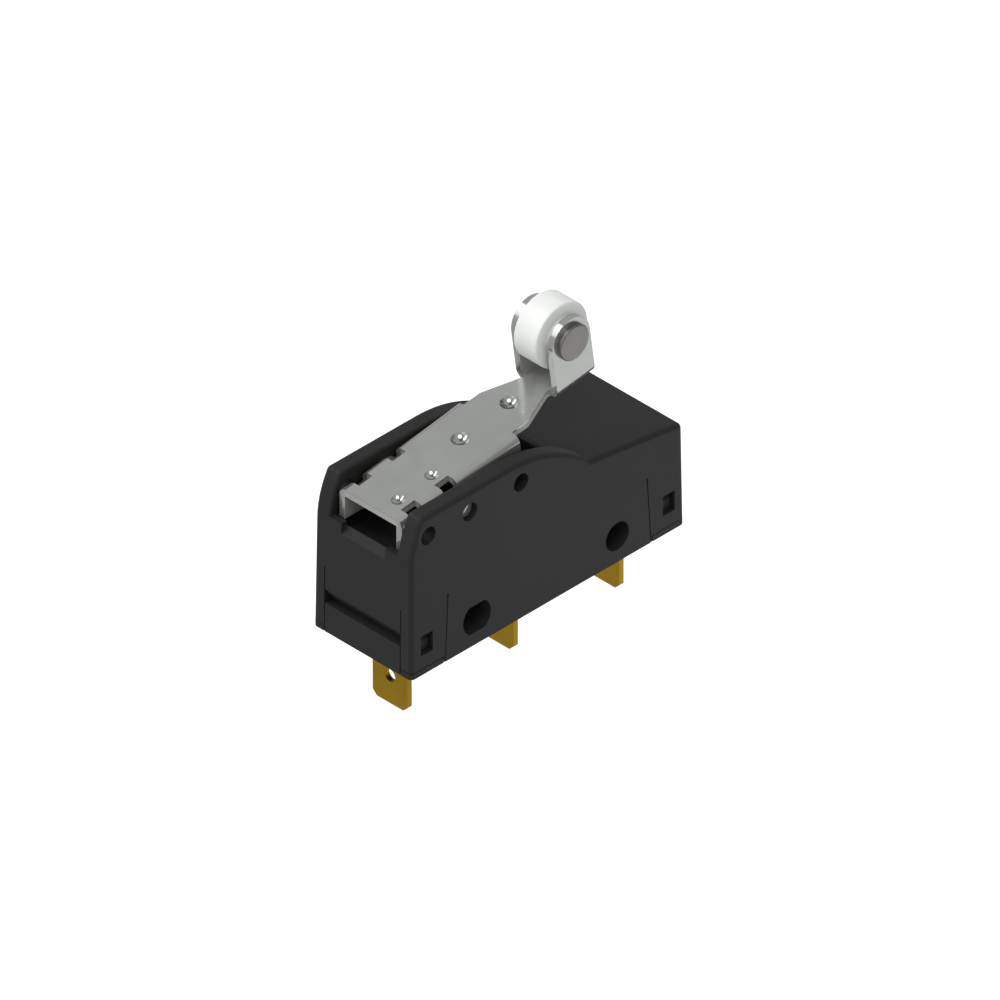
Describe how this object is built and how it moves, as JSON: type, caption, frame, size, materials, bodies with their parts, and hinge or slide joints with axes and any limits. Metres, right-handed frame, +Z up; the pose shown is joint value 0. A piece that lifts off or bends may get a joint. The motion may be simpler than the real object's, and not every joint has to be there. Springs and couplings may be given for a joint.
{
  "type": "micro switch",
  "caption": "Snap-action micro switch in a black moulded housing, with a hinged sheet-metal roller lever, brass tab terminals and cross mounting holes.",
  "frame": {"origin": "middle of the round mounting hole, half way through the body's width", "axes": "+X along the body towards its right end, where the roller is; +Y to the back face, along the mounting holes; +Z up, from the terminals towards the lever"},
  "size_m": [0.0495, 0.0178, 0.0488],
  "materials": {
    "housing_plastic": "fine matte moulding",
    "base_plastic": "fine matte moulding",
    "plunger_plastic": "smooth moulding",
    "roller_plastic": "smooth white moulding",
    "plated_steel": "satin plated sheet",
    "pin_steel": "turned and riveted",
    "spring_steel": "drawn wire",
    "spring_copper": "rolled copper alloy strip",
    "brass": "stamped strip",
    "contact_silver": "silver contact rivet"
  },
  "bodies": {
    "housing": {"upper_housing": "housing_plastic", "base_plate": "base_plastic", "common_terminal": "brass", "normally_open_terminal": "brass", "normally_closed_terminal": "brass", "driver_bracket": "brass", "bracket_rivets": "pin_steel", "normally_open_contact": "contact_silver", "normally_closed_contact": "contact_silver", "return_spring": "spring_steel"},
    "lever": {"lever": "plated_steel", "roller_axle": "pin_steel"},
    "roller": {"roller": "roller_plastic"},
    "plunger": {"plunger": "plunger_plastic"},
    "driver": {"driver_arm": "spring_copper"},
    "contact_arm": {"contact_arm": "spring_copper", "moving_contact": "contact_silver", "snap_spring": "spring_steel"}
  },
  "joints": [
    {"name": "lever_pivot", "type": "hinge", "parent": "housing", "child": "lever", "pos_m": [-0.02646, 0, 0.01695], "axis": [0, 1, 0], "range_deg": [0, 8], "stiffness_Nm_per_rad": 0.1, "springref_deg": -14.32},
    {"name": "roller_spin", "type": "hinge", "parent": "lever", "child": "roller", "pos_m": [-0.00328, 0, 0.02964], "axis": [0, 1, 0], "continuous": true},
    {"name": "plunger_slide", "type": "slide", "parent": "housing", "child": "plunger", "axis": [0, 0, -1], "range_m": [0, 0.001], "deforming": ["return_spring"]},
    {"name": "driver_hinge", "type": "hinge", "parent": "housing", "child": "driver", "pos_m": [-0.02985, 0, 0.0072], "axis": [0, 1, 0], "range_deg": [0, 5.43]},
    {"name": "contact_arm_hinge", "type": "hinge", "parent": "housing", "child": "contact_arm", "pos_m": [-0.02385, 0, 0.0072], "axis": [0, 1, 0], "range_deg": [0, 2.4], "deforming": ["snap_spring"]}
  ],
  "couplings": [
    {"joint": "plunger_slide", "follows": "lever_pivot", "m_per_rad": 0.0071637},
    {"joint": "driver_hinge", "follows": "lever_pivot", "ratio": 0.6789},
    {"joint": "contact_arm_hinge", "follows": "lever_pivot", "ratio": 0.3}
  ]
}
